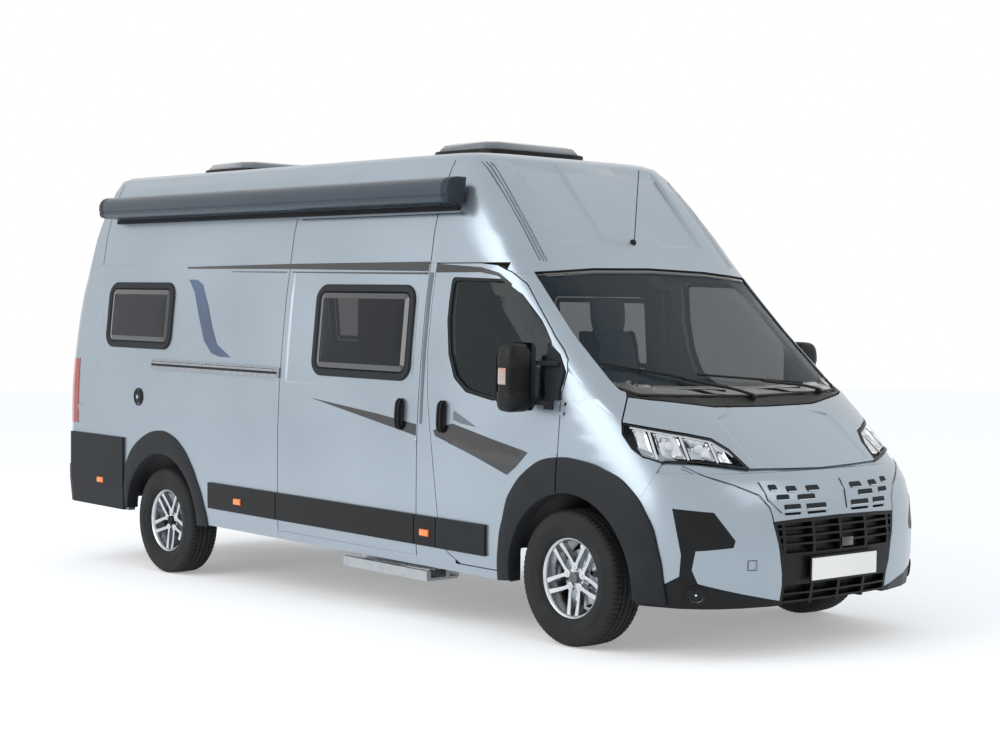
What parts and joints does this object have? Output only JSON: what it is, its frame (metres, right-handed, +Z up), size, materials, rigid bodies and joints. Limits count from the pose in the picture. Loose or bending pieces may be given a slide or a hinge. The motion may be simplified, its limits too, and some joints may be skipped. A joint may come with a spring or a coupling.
{
  "type": "camper van",
  "caption": "High-roof camper van with opening cab doors, rear doors and bonnet, steered front wheels, side awning, roof lights and fitted living space.",
  "frame": {"origin": "ground level at the middle of the van's length and width", "axes": "+X towards the front along the length, +Y to the left, +Z up"},
  "size_m": [6.3834, 2.508, 2.8704],
  "materials": {
    "body_paint": "silver grey-blue metallic",
    "tinted_glass": "dark tinted",
    "windscreen_glass": "clear",
    "lamp_glass": "clear lamp cover",
    "red_lens": "red lens",
    "black_plastic": "black grained",
    "grey_plastic": "dark grey grained",
    "rail_metal": "bright",
    "awning_paint": "slate blue satin",
    "roof_light_cover": "slate grey",
    "step_metal": "satin",
    "underbody_paint": "black satin",
    "dash_plastic": "dark soft-touch",
    "seat_fabric": "dark grey woven",
    "furniture_wood": "light laminate",
    "cushion_fabric": "warm grey woven",
    "engine_metal": "raw",
    "radiator_metal": "black finned",
    "tyre_rubber": "black rubber",
    "wheel_alloy": "machined and black"
  },
  "bodies": {
    "body": {"awning": "awning_paint", "bumper_corners": "black_plastic", "cab_pillars": "body_paint", "cab_seats": "seat_fabric", "cowl": "black_plastic", "cushions": "cushion_fabric", "dashboard": "dash_plastic", "door_frame_left": "body_paint", "door_frame_right": "body_paint", "engine_block": "engine_metal", "entry_step": "step_metal", "firewall": "underbody_paint", "floor_pan": "underbody_paint", "front_bumper": "body_paint", "front_subframe": "underbody_paint", "front_wings": "body_paint", "furniture": "furniture_wood", "grille": "black_plastic", "headlamps": "lamp_glass", "radiator": "radiator_metal", "rear_axle": "underbody_paint", "rear_bumper": "grey_plastic", "roof_lights": "roof_light_cover", "roof_panel": "body_paint", "seat_bases": "underbody_paint", "side_strips": "grey_plastic", "side_wall_left": "body_paint", "side_wall_right": "body_paint", "side_windows": "tinted_glass", "slide_rail": "rail_metal", "sliding_door": "body_paint", "steering_wheel": "dash_plastic", "tail_lamps": "red_lens", "underbody_tanks": "black_plastic", "wheel_arch_flares": "grey_plastic", "wheel_liners": "black_plastic", "windscreen": "windscreen_glass"},
    "front_door_left": {"front_door_left": "body_paint", "door_glass_left": "tinted_glass", "door_fittings_left": "grey_plastic"},
    "front_door_right": {"front_door_right": "body_paint", "door_glass_right": "tinted_glass", "door_fittings_right": "grey_plastic"},
    "rear_door_left": {"rear_door_left": "body_paint", "rear_glass_left": "tinted_glass"},
    "rear_door_right": {"rear_door_right": "body_paint", "rear_glass_right": "tinted_glass"},
    "bonnet": {"bonnet": "body_paint"},
    "knuckle_left": {"knuckle_left": "engine_metal"},
    "knuckle_right": {"knuckle_right": "engine_metal"},
    "wheel_front_left": {"tyre_front_left": "tyre_rubber", "rim_front_left": "wheel_alloy"},
    "wheel_front_right": {"tyre_front_right": "tyre_rubber", "rim_front_right": "wheel_alloy"},
    "wheel_rear_left": {"tyre_rear_left": "tyre_rubber", "rim_rear_left": "wheel_alloy"},
    "wheel_rear_right": {"tyre_rear_right": "tyre_rubber", "rim_rear_right": "wheel_alloy"}
  },
  "joints": [
    {"name": "front_door_left_hinge", "type": "hinge", "parent": "body", "child": "front_door_left", "pos_m": [2.15142, 1.033, 1.10646], "axis": [-0.0248, 0, -0.9997], "range_deg": [0, 70]},
    {"name": "front_door_right_hinge", "type": "hinge", "parent": "body", "child": "front_door_right", "pos_m": [2.15142, -1.033, 1.10646], "axis": [0.0248, 0, 0.9997], "range_deg": [0, 70]},
    {"name": "rear_door_left_hinge", "type": "hinge", "parent": "body", "child": "rear_door_left", "pos_m": [-3.16723, 0.888, 1.38834], "axis": [-0.0248, 0, -0.9997], "range_deg": [0, 180]},
    {"name": "rear_door_right_hinge", "type": "hinge", "parent": "body", "child": "rear_door_right", "pos_m": [-3.16723, -0.888, 1.38834], "axis": [0.0248, 0, 0.9997], "range_deg": [0, 180]},
    {"name": "bonnet_hinge", "type": "hinge", "parent": "body", "child": "bonnet", "pos_m": [2.43928, 0, 1.29938], "axis": [0, -1, 0], "range_deg": [0, 60]},
    {"name": "steering_left", "type": "hinge", "parent": "body", "child": "knuckle_left", "pos_m": [2.20093, 0.83, 0.36], "axis": [0.0248, 0, 0.9997], "range_deg": [-35, 35]},
    {"name": "steering_right", "type": "hinge", "parent": "body", "child": "knuckle_right", "pos_m": [2.20093, -0.83, 0.36], "axis": [0.0248, 0, 0.9997], "range_deg": [-35, 35]},
    {"name": "wheel_front_left_spin", "type": "hinge", "parent": "knuckle_left", "child": "wheel_front_left", "pos_m": [2.20093, 0.905, 0.36], "axis": [0, 1, 0], "continuous": true},
    {"name": "wheel_front_right_spin", "type": "hinge", "parent": "knuckle_right", "child": "wheel_front_right", "pos_m": [2.20093, -0.905, 0.36], "axis": [0, 1, 0], "continuous": true},
    {"name": "wheel_rear_left_spin", "type": "hinge", "parent": "body", "child": "wheel_rear_left", "pos_m": [-1.83407, 0.895, 0.36], "axis": [0, 1, 0], "continuous": true},
    {"name": "wheel_rear_right_spin", "type": "hinge", "parent": "body", "child": "wheel_rear_right", "pos_m": [-1.83407, -0.895, 0.36], "axis": [0, 1, 0], "continuous": true}
  ],
  "couplings": [
    {"joint": "steering_right", "follows": "steering_left", "ratio": 1}
  ]
}
